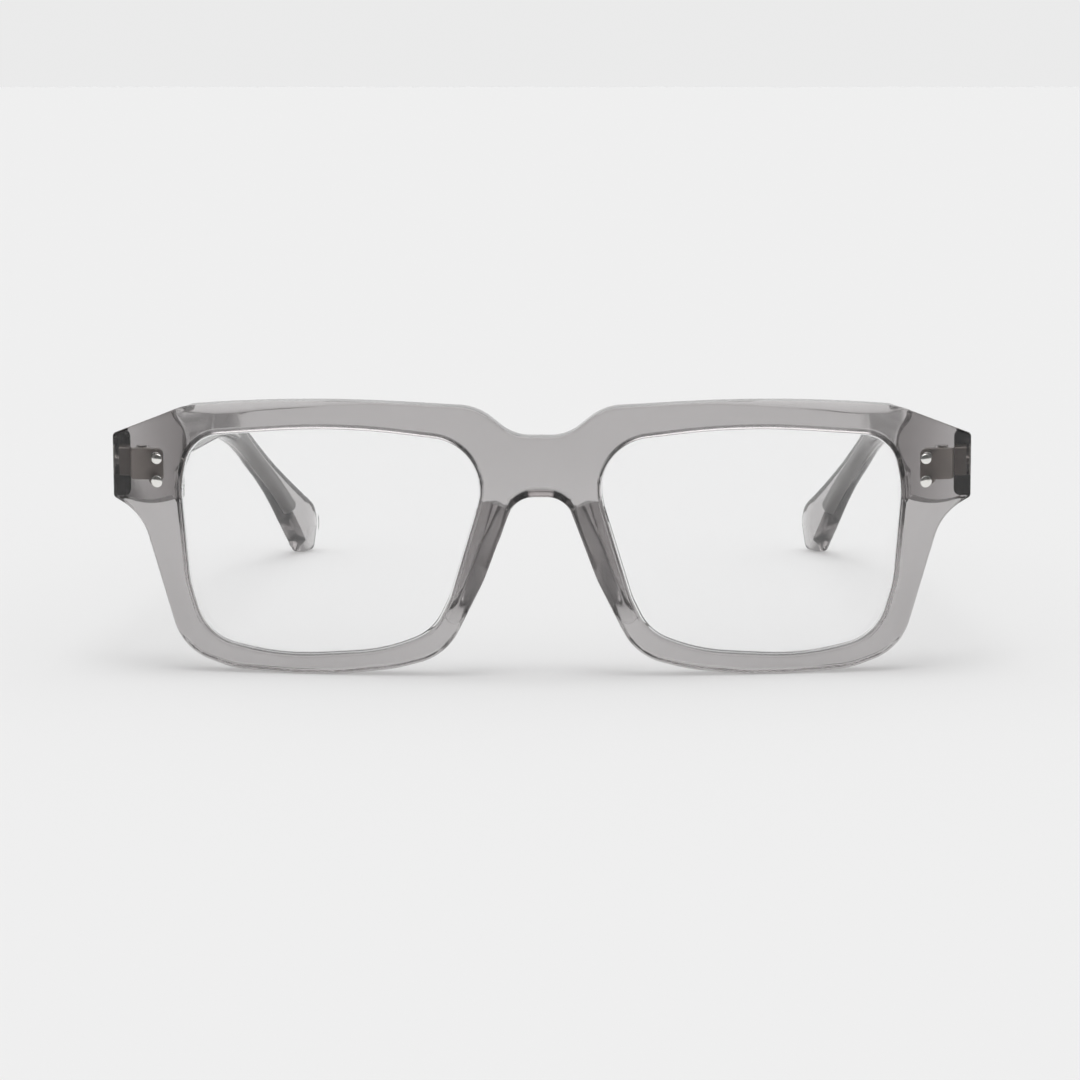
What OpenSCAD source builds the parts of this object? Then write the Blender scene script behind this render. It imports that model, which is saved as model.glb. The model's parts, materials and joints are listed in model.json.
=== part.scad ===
// Rectangular acetate eyeglasses, open, standing on the lower rims and the temple tips.
// X runs to the right seen from the front, Y runs back along the temples, Z is up.
// The origin is under the middle of the whole object, on the surface it stands on.

/* [Front] */
// Width of the front over the endpieces
front_w = 146.1; // [138:0.1:152]
// Height of the front at its tallest
front_h = 46.2; // [43:0.1:49]
// Thickness of the acetate sheet
front_th = 4.6; // [4:0.1:5]
// Radius of the front's curve seen from above
face_r = 300; // [260:5:400]
// Sweep of the endpiece facets, in degrees
facet_angle = 26; // [22:1:28]
// Half distance between the two facet creases
crease_x = 61.2; // [61:0.1:61.6]

/* [Lenses] */
// Thickness of a lens
lens_th = 2; // [1.8:0.1:2.2]
// Depth of the lens groove in the rim
groove_depth = 0.7; // [0.5:0.1:0.9]
// Width of the lens edge that sits in the groove
tongue_th = 1; // [0.8:0.1:1.2]
// Depth of the lens front behind the face of the front
lens_inset = 1.3; // [1.1:0.1:1.5]

/* [Nose pads] */
// Height of the pads behind the rim
pad_depth = 5.4; // [4:0.1:6]
// Splay of the pads away from the nose, in degrees
pad_splay = 30; // [20:1:34]

/* [Temples] */
// Thickness of a temple
temple_th = 3.75; // [3.6:0.05:3.9]
// Inward slope of the straight part of a temple
toe_in = 0.078; // [0.06:0.002:0.09]
// Radius of the inward curve of the tip
tip_curve_r = 232; // [220:1:260]
// Gap at the joint between front and temple
butt_gap = 0.08; // [0.05:0.01:0.15]

/* [Hinges] */
// Radius of the hinge knuckles
knuckle_r = 1.5; // [1.4:0.05:1.6]
// Radius of the hinge screw
screw_r = 0.6; // [0.5:0.05:0.7]
// Radial clearance of the screw in the turning knuckles
screw_clear = 0.04; // [0.02:0.01:0.08]
// Thickness of the hinge leaf in the front
leaf_th = 2.6; // [2.2:0.1:3]
// Thickness of the hinge leaf sunk in the temple
temple_leaf_th = 2.2; // [1.8:0.1:2.4]
// Radius of a rivet head
rivet_head_r = 1; // [0.9:0.05:1.05]
// Radius of a rivet shaft
rivet_r = 0.65; // [0.5:0.05:0.7]

/* [Core wires] */
// Height of the flat core wire
wire_h = 1.9; // [1.6:0.1:2.1]
// Thickness of the core wire
wire_th = 1.1; // [0.9:0.1:1.2]

/* [Hidden] */

acetate = [0.68, 0.67, 0.67, 0.6];
clear = [0.93, 0.94, 0.95, 0.25];
steel = [0.72, 0.71, 0.69];

face_fn = 720;
round_fn = 48;
arc_step = 9;
far = 400;
sink = 0.02;

// The whole object is this deep, and y = 0 is the front of the bridge before it is centred.
overall_depth = 152.4;
scale_x = front_w / 146.1;
scale_z = front_h / 46.2;
half_w = front_w / 2;

// Corners of the right half of the front, from the bridge top outwards and back to the arch:
// x, z and fillet radius.
front_corners = [
    [4.4, 40.5, 7.4],
    [10.6, 45.4, 9.2],
    [40.7, 46.9, 250],
    [60.6, 45.05, 6],
    [73.05, 39.9, 0.9],
    [73.05, 29, 0.8],
    [68, 26.5, 9.5],
    [61, 3.7, 9.8],
    [52.4, 0.7, 13.6],
    [42.1, 0, 20],
    [34.8, 0, 20],
    [24.8, 1.1, 30],
    [15.9, 3.5, 10.5],
    [9.5, 16.3, 20],
    [4.2, 30.4, 4.5]];

// Corners of the right lens opening: x, z and fillet radius.
opening_corners = [
    [33.8, 42.1, 110],
    [8.4, 39.2, 8.8],
    [10.5, 28.6, 6.5],
    [15.2, 13.1, 11.7],
    [18, 7.4, 8.9],
    [26, 4, 31.6],
    [43.9, 2.8, 43],
    [56.8, 5.7, 8.8],
    [59.6, 15.1, 17.8],
    [61, 31.5, 19],
    [59.1, 40.1, 6.5]];

// Corners of the right nose pad seen from the front: x, z and fillet radius.
pad_corners = [
    [9.9, 29, 1.2],
    [5.4, 27.5, 1.5],
    [6.7, 23.4, 12],
    [11.6, 12, 12],
    [14.6, 7.6, 1.3],
    [16.3, 9.7, 1.4],
    [13.7, 19.5, 20],
    [11.4, 27.3, 3.6]];

// Side view of a pad: its depth at the lower end, the heights where it starts to rise and
// reaches its full depth, and its top.
pad_end = 0.3;
pad_low_z = 7.6;
pad_full_z = 20;
pad_top_z = 30;
// The lens side of a pad leans inwards from this line on the rim.
pad_back_low = [16.3, 9.6];
pad_back_high = [10.3, 27.7];
pad_back_splay = 20;

// The endpiece is thicker behind: its shoulder, its underside, its rear face where the temple
// butts, and the depth at which the hinge plate lies in its pocket.
crease_y = face_r - sqrt(face_r * face_r - crease_x * crease_x);
block_bottom_z = 28.7;
shoulder_x = 61.3;
butt_y = 17.2;
leaf_rear_y = 16.2;
rim_bend_x = 59;
rim_bend_y = 10.3;
crown_fall = 0.15;

// Hinge: axis of the screw, height of the barrel and the number of its knuckles.
pivot_x = 67;
pivot_y = 17.9;
barrel_z = 32.15;
barrel_h = 4.8;
knuckles = 5;
knuckle_gap = 0.03;
knuckle_h = barrel_h / knuckles;
neck_w = 1.6;
neck_in = 0.3;
leaf_x = 63.4;
leaf_end_x = 69.4;
leaf_margin = 0.2;
lug_r = 0.9;
rivet_x = 65.1;
rivet_upper_z = 36.05;
rivet_lower_z = 32.05;
rivet_head_h = 1;
rivet_proud = 0.15;
screw_head_r = 1.05;
screw_head_h = 0.5;
pocket_room = 0.15;
slot_w = 0.3;

// Temple: corners of its side view, y, z and fillet radius.
temple_corners = [
    [10, 28.5, 0],
    [50, 30.3, 100],
    [106, 29.9, 60],
    [133, 14.2, 60],
    [147.2, 0, 1.5],
    [150.5, 0, 1],
    [153.8, 8.4, 5.4],
    [103.7, 35.1, 25],
    [40, 38.84, 200],
    [10, 39.4, 0]];
bend_y = 92;
slope_n = sqrt(1 + toe_in * toe_in);
outer_bend_x = half_w - toe_in * (bend_y - butt_y);
curve_x = outer_bend_x - tip_curve_r / slope_n;
curve_y = bend_y - tip_curve_r * toe_in / slope_n;
temple_leaf_y = 18.9;
temple_leaf_len = 7.6;
temple_rivet_y = [20.6, 24.6];
temple_rivet_z = barrel_z + barrel_h / 2;

// Core wire: corners of its middle line seen from the side.
wire_path = [
    [28.5, 34.6, 0],
    [104, 32.6, 40],
    [134, 16.4, 90],
    [142, 10, 0]];

function unit(v) = v / norm(v);
function flat(p) = [p[0], p[1]];
function turn(from, to) = (to - from + 540) % 360 - 180;

// Points of one corner, with its fillet when it has a radius.
function corner(a, b, c, r) =
    r == 0 ? [b] :
    let (u = unit(a - b))
    let (v = unit(c - b))
    let (half = acos(u * v) / 2)
    let (centre = b + unit(u + v) * r / sin(half))
    let (first = b + u * r / tan(half) - centre)
    let (last = b + v * r / tan(half) - centre)
    let (start = atan2(first[1], first[0]))
    let (sweep = turn(start, atan2(last[1], last[0])))
    let (steps = max(1, ceil(abs(sweep) / min(arc_step, arc_step * sqrt(12 / r)))))
    [for (i = [0:steps]) centre + r * [cos(start + sweep * i / steps), sin(start + sweep * i / steps)]];

// A closed outline from its corners, and an open path that keeps its two ends.
function outline(list) =
    let (n = len(list))
    [for (i = [0:n - 1])
        each corner(flat(list[(i + n - 1) % n]), flat(list[i]), flat(list[(i + 1) % n]), list[i][2])];
function path(list) =
    let (n = len(list))
    [for (i = [0:n - 1])
        each i == 0 || i == n - 1 ? [flat(list[i])]
            : corner(flat(list[i - 1]), flat(list[i]), flat(list[i + 1]), list[i][2])];

function sized(list) = [for (p = list) [p[0] * scale_x, p[1] * scale_z, p[2]]];
function mirrored(list) = [for (i = [len(list) - 1:-1:0]) [-list[i][0], list[i][1], list[i][2]]];

// Moves every point of a closed outline outwards by d; the outline runs clockwise or not by side.
function grown(points, d, side) =
    let (n = len(points))
    [for (i = [0:n - 1])
        let (t = unit(points[(i + 1) % n] - points[(i + n - 1) % n]))
        points[i] + side * d * [-t[1], t[0]]];

// A ribbon of width w along an open path.
function ribbon(points, w) =
    let (n = len(points))
    let (normals = [for (i = [0:n - 1])
        let (t = unit(points[min(i + 1, n - 1)] - points[max(i - 1, 0)]))
        [-t[1], t[0]]])
    concat([for (i = [0:n - 1]) points[i] + normals[i] * w / 2],
        [for (i = [n - 1:-1:0]) points[i] - normals[i] * w / 2]);

opening = outline(sized(opening_corners));

// Centres the object on the origin.
module placed() {
    translate([0, -overall_depth / 2, 0]) children();
}

// Draws its children on the right side, or mirrored on the left side.
module on_side(side) {
    mirror([side < 0 ? 1 : 0, 0, 0]) children();
}

// An outline in x and z pushed through the whole depth.
module slab_xz(points, y0, y1) {
    translate([0, y1, 0]) rotate([90, 0, 0]) linear_extrude(y1 - y0) polygon(points);
}

// A side view in y and z pushed from x0 to x1.
module slab_yz(points, x0, x1) {
    translate([x0, 0, 0]) rotate([90, 0, 90]) linear_extrude(x1 - x0) polygon(points);
}

// A plan in x and y pushed from z0 to z1.
module slab_xy(points, z0, z1) {
    translate([0, 0, z0]) linear_extrude(z1 - z0) polygon(points);
}

// Everything inside the face curve, depth behind the front of the bridge.
module inside_face(depth) {
    translate([0, face_r, -1]) cylinder(r = face_r - depth, h = front_h + 2, $fn = face_fn);
}

// What the two facet planes leave of the front, seen from above.
module facet_limits() {
    rise = tan(facet_angle);
    edge = half_w + 10;
    slab_xy([
        [-edge, crease_y + (edge - crease_x) * rise],
        [-crease_x, crease_y],
        [-crease_x, -1],
        [crease_x, -1],
        [crease_x, crease_y],
        [edge, crease_y + (edge - crease_x) * rise],
        [edge, butt_y],
        [-edge, butt_y]], -1, front_h + 1);
}

// The space behind the front: beside the endpiece blocks, and below them.
module behind_front() {
    rise = tan(facet_angle);
    edge = half_w + 10;
    intersection() {
        inside_face(front_th);
        union() {
            slab_xy([
                [-shoulder_x, far],
                [-shoulder_x, 0],
                [shoulder_x, 0],
                [shoulder_x, far]], -1, front_h + 1);
            slab_xy([
                [-edge, far],
                [-edge, rim_bend_y + (edge - rim_bend_x) * rise],
                [-rim_bend_x, rim_bend_y],
                [-rim_bend_x, 0],
                [rim_bend_x, 0],
                [rim_bend_x, rim_bend_y],
                [edge, rim_bend_y + (edge - rim_bend_x) * rise],
                [edge, far]], -1, block_bottom_z);
        }
    }
}

// Everything above an endpiece: its top falls towards the back, from the top edge of the facet.
module above_endpiece() {
    corners = sized(front_corners);
    inner = corners[3];
    outer = corners[4];
    edge_slope = (inner[1] - outer[1]) / (outer[0] - inner[0]);
    slope = edge_slope - crown_fall * tan(facet_angle);
    lean = norm([slope, crown_fall, 1]);
    translate([crease_x, crease_y, inner[1] - edge_slope * (crease_x - inner[0])])
        rotate([-asin(crown_fall / lean), atan(slope), 0])
            translate([-30, -30, 0]) cube([60, 60, 20]);
}

module lens_shape(body_gap, tongue_grow, depth0, depth1) {
    intersection() {
        slab_xz(grown(opening, tongue_grow - body_gap, -1), -1, 30);
        difference() {
            inside_face(depth0);
            inside_face(depth1);
        }
    }
}

// A lens: its full thickness inside the opening, and a thinner edge that sits in the groove.
module lens() {
    mid = lens_inset + lens_th / 2;
    lens_shape(0.1, 0, lens_inset, lens_inset + lens_th);
    lens_shape(0.05, groove_depth, mid - tongue_th / 2, mid + tongue_th / 2);
}

module groove() {
    mid = lens_inset + lens_th / 2;
    lens_shape(0, groove_depth, mid - tongue_th / 2 - sink, mid + tongue_th / 2 + sink);
}

// A plate a little higher than the barrel, with a round lug under it for the lower rivet.
module front_leaf_plate(rear_y) {
    front_y = leaf_rear_y - leaf_th;
    translate([leaf_x, front_y, barrel_z - leaf_margin])
        cube([leaf_end_x - leaf_x, rear_y - front_y, barrel_h + 2 * leaf_margin]);
    translate([rivet_x, rear_y, rivet_lower_z]) rotate([90, 0, 0])
        cylinder(r = lug_r, h = rear_y - front_y, $fn = round_fn);
}

// The pocket in the back of an endpiece: room for the plate, the knuckles and the screw head.
module hinge_pocket() {
    top = barrel_z + barrel_h;
    front_leaf_plate(butt_y + 1);
    ring_at_pivot(screw_head_r + pocket_room, top, top + screw_head_h + pocket_room);
}

// A rivet along Y: head, shaft and the end that is peened over the leaf.
module front_rivet(z) {
    rise = tan(facet_angle);
    head_y = crease_y + (rivet_x - crease_x) * rise - rivet_proud;
    end_y = leaf_rear_y + rivet_proud;
    translate([rivet_x, end_y, z]) rotate([90, 0, 0])
        cylinder(r = rivet_r, h = end_y - head_y - rivet_head_h / 2, $fn = round_fn);
    intersection() {
        translate([rivet_x, head_y + rivet_head_h, z]) rotate([90, 0, 0])
            cylinder(r = rivet_head_r, h = 2 * rivet_head_h, $fn = round_fn);
        slab_xy([
            [rivet_x - 3, head_y - 3 * rise],
            [rivet_x + 3, head_y + 3 * rise],
            [rivet_x + 3, butt_y],
            [rivet_x - 3, butt_y]], z - 2, z + 2);
    }
}

module front_frame() {
    color(acetate) placed() difference() {
        intersection() {
            slab_xz(outline(sized(concat(front_corners, mirrored(front_corners)))), -1, butt_y);
            inside_face(0);
            facet_limits();
        }
        behind_front();
        for (side = [-1, 1]) on_side(side) {
            above_endpiece();
            slab_xz(opening, -2, 30);
            groove();
            hinge_pocket();
            front_rivet(rivet_upper_z);
            front_rivet(rivet_lower_z);
        }
    }
}

module lens_piece(side) {
    color(clear) placed() on_side(side) lens();
}

// The side view of a pad: it rises from the rim at both ends, more gently at the lower one.
module pad_profile() {
    rear = front_th + pad_depth;
    slab_yz([
        [0, 0],
        [front_th + pad_end, 0],
        [front_th + pad_end, pad_low_z],
        [rear, pad_full_z],
        [rear, pad_top_z],
        [0, pad_top_z]], 0, 30);
}

// A long wedge between two rim lines: it stands on low and leans along the line to high.
module pad_side(low, high, plan) {
    lean = atan2(low[0] - high[0], high[1] - low[1]);
    translate([low[0], 0, low[1]]) rotate([0, -lean, 0]) slab_xy(plan, -12, 40);
}

// A pad is bonded on the back of the rim; its two sides lean together to a ridge at the rear.
module nose_pad(side) {
    rear = front_th + pad_depth;
    color(acetate) placed() on_side(side) difference() {
        intersection() {
            slab_xz(outline(pad_corners), 0, rear);
            pad_profile();
            pad_side([14.1, 7.6], [6.2, 25.1], [
                [-0.8, 0],
                [-0.8, front_th],
                [pad_depth * tan(pad_splay), rear],
                [15, rear],
                [15, 0]]);
            pad_side(pad_back_low, pad_back_high, [
                [0, 0],
                [0, front_th],
                [-pad_depth * tan(pad_back_splay), rear],
                [-15, rear],
                [-15, 0]]);
        }
        difference() {
            translate([-1, -1, -1]) cube([40, 30, 50]);
            inside_face(front_th);
        }
    }
}

module ring_at_pivot(r, z0, z1) {
    translate([pivot_x, pivot_y, z0]) cylinder(r = r, h = z1 - z0, $fn = round_fn);
}

// The knuckles of one half of the hinge: every second one, counted from first.
module knuckle_set(first, bore_r, neck_to) {
    for (i = [first:2:knuckles - 1]) {
        z0 = barrel_z + i * knuckle_h + knuckle_gap / 2;
        z1 = z0 + knuckle_h - knuckle_gap;
        difference() {
            union() {
                ring_at_pivot(knuckle_r, z0, z1);
                slab_xy(neck_to, z0, z1);
            }
            ring_at_pivot(bore_r, z0 - 1, z1 + 1);
        }
    }
}

module front_hinge(side) {
    half = neck_w / 2;
    color(steel) placed() on_side(side) {
        difference() {
            front_leaf_plate(leaf_rear_y);
            front_rivet(rivet_upper_z);
            front_rivet(rivet_lower_z);
        }
        knuckle_set(0, screw_r, [
            [pivot_x - half, leaf_rear_y - sink],
            [pivot_x + half, leaf_rear_y - sink],
            [pivot_x + half, pivot_y],
            [pivot_x - half, pivot_y]]);
    }
}

module hinge_screw(side) {
    top = barrel_z + barrel_h;
    color(steel) placed() on_side(side) difference() {
        union() {
            ring_at_pivot(screw_r, barrel_z - 0.1, top);
            ring_at_pivot(screw_head_r, top, top + screw_head_h);
        }
        translate([pivot_x - 2, pivot_y - slot_w / 2, top + screw_head_h - 0.25]) cube([4, slot_w, 1]);
    }
}

// The inner face of a temple is this far out at depth y, in its straight part.
function inner_x(y) = half_w - toe_in * (y - butt_y) - temple_th * slope_n;

// The plan of a temple between two depths inside its thickness, from its straight part to its tip.
module temple_band(out0, out1, z0, z1) {
    from_y = butt_y + butt_gap;
    nx = 1 / slope_n;
    ny = toe_in / slope_n;
    slab_xy([
        [half_w - toe_in * (from_y - butt_y) - out0 * slope_n, from_y],
        [half_w - toe_in * (from_y - butt_y) - out1 * slope_n, from_y],
        [outer_bend_x - out1 * nx, bend_y - out1 * ny],
        [outer_bend_x - out0 * nx, bend_y - out0 * ny]], z0, z1);
    intersection() {
        difference() {
            translate([curve_x, curve_y, z0])
                cylinder(r = tip_curve_r - out0, h = z1 - z0, $fn = face_fn);
            translate([curve_x, curve_y, z0 - 1])
                cylinder(r = tip_curve_r - out1, h = z1 - z0 + 2, $fn = face_fn);
        }
        slab_xy([
            [curve_x, curve_y],
            [curve_x + far * nx, curve_y + far * ny],
            [far, far],
            [curve_x, far]], z0, z1);
    }
}

module core_wire_solid() {
    mid = temple_th / 2;
    intersection() {
        slab_yz(ribbon(path(wire_path), wire_h), 30, 90);
        temple_band(mid - wire_th / 2, mid + wire_th / 2, 0, 50);
    }
}

// Draws its children in the temple's own straight frame: x from its inner face, y from the step.
module on_temple_face() {
    translate([inner_x(temple_leaf_y), temple_leaf_y, 0]) rotate([0, 0, atan(toe_in)]) children();
}

module temple_leaf_plate() {
    on_temple_face() translate([-sink, 0, barrel_z])
        cube([temple_leaf_th + sink, temple_leaf_len, barrel_h]);
}

// A rivet through the temple: it holds the leaf and shows as a dot outside.
module temple_rivet(y) {
    length = temple_th + 2 * rivet_proud;
    on_temple_face() translate([-rivet_proud, y - temple_leaf_y, temple_rivet_z]) rotate([0, 90, 0]) {
        cylinder(r = rivet_r, h = length - rivet_head_h / 2, $fn = round_fn);
        translate([0, 0, length - rivet_head_h]) cylinder(r = rivet_head_r, h = rivet_head_h, $fn = round_fn);
    }
}

module temple(side) {
    color(acetate) placed() on_side(side) difference() {
        intersection() {
            slab_yz(outline(temple_corners), 30, 90);
            temple_band(0, temple_th, -1, 50);
        }
        core_wire_solid();
        temple_leaf_plate();
        for (y = temple_rivet_y) temple_rivet(y);
    }
}

module core_wire(side) {
    color(steel) placed() on_side(side) core_wire_solid();
}

module temple_hinge(side) {
    half = neck_w / 2;
    root = inner_x(temple_leaf_y);
    color(steel) placed() on_side(side) difference() {
        union() {
            temple_leaf_plate();
            knuckle_set(1, screw_r + screw_clear, [
                [pivot_x, pivot_y - half],
                [pivot_x + knuckle_r, pivot_y - half],
                [root - neck_in, temple_leaf_y],
                [root + neck_in, temple_leaf_y],
                [root + neck_in, temple_leaf_y + neck_w],
                [root - neck_in, temple_leaf_y + neck_w],
                [pivot_x, pivot_y + knuckle_r]]);
        }
        for (y = temple_rivet_y) temple_rivet(y);
    }
}

module temple_rivet_piece(side, which) {
    color(steel) placed() on_side(side) temple_rivet(temple_rivet_y[which]);
}

module front_rivet_piece(side, z) {
    color(steel) placed() on_side(side) front_rivet(z);
}

front_frame();
lens_piece(-1);  // lens_left
lens_piece(1);  // lens_right
nose_pad(-1);  // nose_pad_left
nose_pad(1);  // nose_pad_right
front_hinge(-1);  // front_hinge_left
front_hinge(1);  // front_hinge_right
hinge_screw(-1);  // hinge_screw_left
hinge_screw(1);  // hinge_screw_right
front_rivet_piece(-1, rivet_upper_z);  // front_rivet_upper_left
front_rivet_piece(-1, rivet_lower_z);  // front_rivet_lower_left
front_rivet_piece(1, rivet_upper_z);  // front_rivet_upper_right
front_rivet_piece(1, rivet_lower_z);  // front_rivet_lower_right
temple(-1);  // temple_left
temple(1);  // temple_right
core_wire(-1);  // core_wire_left
core_wire(1);  // core_wire_right
temple_hinge(-1);  // temple_hinge_left
temple_hinge(1);  // temple_hinge_right
temple_rivet_piece(-1, 0);  // temple_rivet_front_left
temple_rivet_piece(-1, 1);  // temple_rivet_rear_left
temple_rivet_piece(1, 0);  // temple_rivet_front_right
temple_rivet_piece(1, 1);  // temple_rivet_rear_right
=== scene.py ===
import json
import math

import bmesh
import bpy
from mathutils import Matrix, Vector

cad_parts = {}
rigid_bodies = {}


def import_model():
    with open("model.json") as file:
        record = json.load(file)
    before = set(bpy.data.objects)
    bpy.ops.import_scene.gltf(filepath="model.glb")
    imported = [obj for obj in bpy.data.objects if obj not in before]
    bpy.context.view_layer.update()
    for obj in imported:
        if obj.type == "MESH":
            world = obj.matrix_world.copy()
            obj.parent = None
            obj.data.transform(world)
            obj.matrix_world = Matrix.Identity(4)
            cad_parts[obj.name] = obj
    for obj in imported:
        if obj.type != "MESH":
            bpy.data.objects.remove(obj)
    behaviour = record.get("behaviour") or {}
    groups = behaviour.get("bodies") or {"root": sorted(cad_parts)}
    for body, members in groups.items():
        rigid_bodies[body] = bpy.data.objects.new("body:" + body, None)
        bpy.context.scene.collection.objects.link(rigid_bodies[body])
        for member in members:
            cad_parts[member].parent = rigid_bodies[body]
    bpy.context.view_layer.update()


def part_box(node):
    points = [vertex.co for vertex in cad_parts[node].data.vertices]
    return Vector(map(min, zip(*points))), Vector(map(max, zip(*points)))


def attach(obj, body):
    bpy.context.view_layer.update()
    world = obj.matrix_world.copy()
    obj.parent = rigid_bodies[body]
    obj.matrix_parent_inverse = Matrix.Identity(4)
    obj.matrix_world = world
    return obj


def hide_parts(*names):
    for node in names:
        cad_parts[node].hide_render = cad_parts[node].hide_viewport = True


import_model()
mm = 0.001

# The studio: a pale sheet that the glasses stand on, in a light tent that is dimmer above the
# backdrop, dark on the camera's side and flagged off at both ends, with a bright diffuser and
# a soft lamp straight overhead. The camera looks down by eight degrees.
sheet_white = 0.828
sheet_size = 12
sheet_gap = 0.06
open_side = 0.12
flag_black = 0.3
tent_wall = 0.4
diffuser_light = 2.2
tent_light = 0.72
lamp_light = 3.7
# where the tent's parts begin and end, as shares of a direction's length
backdrop_edge = (0.2, 0.45)
open_edge = (-0.5, 0.1)
flag_edge = (0.8, 0.95)
diffuser_edge = (0.72, 0.9)
lamp_edge_lengthways = (0.1, 0.4)
lamp_edge_aside = (0.1, 0.45)
camera_focal = 120.7
camera_film = 36
camera_shift = (-0.0916, 0.0012)
camera_right = 16.5
camera_back = 600
camera_up = 108.2
camera_pitch = math.radians(8.08)
front_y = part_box("front_frame")[0].y

bpy.ops.object.select_all(action="DESELECT")
bpy.ops.mesh.primitive_plane_add(size=sheet_size, location=(0, 0, -sheet_gap * mm))
floor = bpy.context.active_object
floor.name = "studio_floor"
sheet_material = bpy.data.materials.new("studio_sheet")
sheet_material.use_nodes = True
sheet_nodes = sheet_material.node_tree.nodes
sheet_nodes.clear()
sheet_diffuse = sheet_nodes.new("ShaderNodeBsdfDiffuse")
sheet_diffuse.inputs["Color"].default_value = (sheet_white, sheet_white, sheet_white, 1)
sheet_output = sheet_nodes.new("ShaderNodeOutputMaterial")
sheet_material.node_tree.links.new(sheet_diffuse.outputs["BSDF"], sheet_output.inputs["Surface"])
floor.data.materials.append(sheet_material)

tent = bpy.data.worlds.new("light_tent")
bpy.context.scene.world = tent
tent.use_nodes = True
tent_nodes = tent.node_tree.nodes
tent_links = tent.node_tree.links
tent_nodes.clear()
seen_white = tent_nodes.new("ShaderNodeBackground")
seen_white.inputs["Color"].default_value = (sheet_white, sheet_white, sheet_white, 1)
wall = tent_nodes.new("ShaderNodeBackground")
way = tent_nodes.new("ShaderNodeTexCoord")
way_parts = tent_nodes.new("ShaderNodeSeparateXYZ")


def tent_step(socket, edge, below, above):
    """A soft step in the tent's light along one direction."""
    step = tent_nodes.new("ShaderNodeMapRange")
    step.interpolation_type = "SMOOTHSTEP"
    low, high = edge
    for name, value in (("From Min", low), ("From Max", high),
                        ("To Min", below), ("To Max", above)):
        step.inputs[name].default_value = value
    tent_links.new(socket, step.inputs["Value"])
    return step.outputs["Result"]


def tent_maths(operation, first, second=None):
    """Joins two values of the tent's light, or works on one of them."""
    node = tent_nodes.new("ShaderNodeMath")
    node.operation = operation
    tent_links.new(first, node.inputs[0])
    if isinstance(second, float):
        node.inputs[1].default_value = second
    elif second is not None:
        tent_links.new(second, node.inputs[1])
    return node.outputs["Value"]


tent_links.new(way.outputs["Generated"], way_parts.inputs["Vector"])
backdrop = tent_step(way_parts.outputs["Z"], backdrop_edge, sheet_white, tent_wall)
open_front = tent_step(way_parts.outputs["Y"], open_edge, open_side / sheet_white, 1)
aside = tent_maths("ABSOLUTE", way_parts.outputs["X"])
flags = tent_step(aside, flag_edge, 1, flag_black)
walls = tent_maths("MULTIPLY", tent_maths("MULTIPLY", backdrop, open_front), flags)
diffuser = tent_step(way_parts.outputs["Z"], diffuser_edge, 0, diffuser_light)
tent_links.new(tent_maths("ADD", walls, diffuser), wall.inputs["Color"])
lengthways = tent_maths("ABSOLUTE", way_parts.outputs["Y"])
lamp = tent_maths("MULTIPLY", tent_step(lengthways, lamp_edge_lengthways, lamp_light, 0),
                  tent_step(aside, lamp_edge_aside, 1, 0))
glow = tent_nodes.new("ShaderNodeBackground")
tent_links.new(tent_maths("ADD", lamp, tent_light), glow.inputs["Color"])
ray = tent_nodes.new("ShaderNodeLightPath")
reflected = tent_maths("MAXIMUM", ray.outputs["Is Glossy Ray"], ray.outputs["Is Transmission Ray"])
reflected_mix = tent_nodes.new("ShaderNodeMixShader")
tent_mix = tent_nodes.new("ShaderNodeMixShader")
tent_output = tent_nodes.new("ShaderNodeOutputWorld")
tent_links.new(reflected, reflected_mix.inputs["Fac"])
tent_links.new(glow.outputs["Background"], reflected_mix.inputs[1])
tent_links.new(wall.outputs["Background"], reflected_mix.inputs[2])
tent_links.new(ray.outputs["Is Camera Ray"], tent_mix.inputs["Fac"])
tent_links.new(reflected_mix.outputs["Shader"], tent_mix.inputs[1])
tent_links.new(seen_white.outputs["Background"], tent_mix.inputs[2])
tent_links.new(tent_mix.outputs["Shader"], tent_output.inputs["Surface"])

camera_data = bpy.data.cameras.new("camera")
camera_data.lens = camera_focal
camera_data.sensor_width = camera_film
camera_data.shift_x, camera_data.shift_y = camera_shift
camera = bpy.data.objects.new("camera", camera_data)
bpy.context.scene.collection.objects.link(camera)
camera.location = (camera_right * mm, front_y - camera_back * mm, camera_up * mm)
look = Vector((0, math.cos(camera_pitch), -math.sin(camera_pitch)))
camera.rotation_euler = look.to_track_quat("-Z", "Y").to_euler()
bpy.context.scene.camera = camera
bpy.context.scene.view_settings.view_transform = "Standard"

# The front: one sheet of clear grey acetate, 4.6 mm thick, cut to shape, thickened behind the
# endpieces, bent to a shallow curve and tumbled until its edges are soft. Each endpiece ends
# in a flat facet, and the lens openings have a V groove in their wall.
sheet_thickness = 4.6
face_radius = 300
crease_x = 61.2
facet_rise = math.tan(math.radians(26))
edge_steps = 4
fine_arc = math.radians(4)
plate_arc = math.radians(15)
outer_round = 0.45
opening_round = 0.5
rear_round = 0.7
groove_lip = 1.75
groove_depth = 0.7
groove_mid = 2.3
half_width = 73.05
block_bottom = 28.7
block_step = 0.3
block_edge = block_bottom - 0.2
shoulder_x = 61.25
butt_depth = 17.2
crease_soft = 0.34
# the pocket of the hinge, and how deep its plate lies
leaf_rear = 16.2
pocket_cut = 3
leaf_corners = [
    (63.4, 37.15, 0.8), (69.4, 37.15, 0.3), (69.4, 31.95, 0.3), (66.05, 31.95, 0.15),
    (65.9, 31.15, 0.6), (64.3, 31.15, 0.6), (64.15, 31.95, 0.15), (63.4, 31.95, 0.5)]
screw_notch = [(65.8, 37.15, 0), (65.8, 37.6, 0.2), (68.2, 37.6, 0.2), (68.2, 37.15, 0)]
rim_bend_x = 59
rim_bend_depth = 10.3
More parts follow.
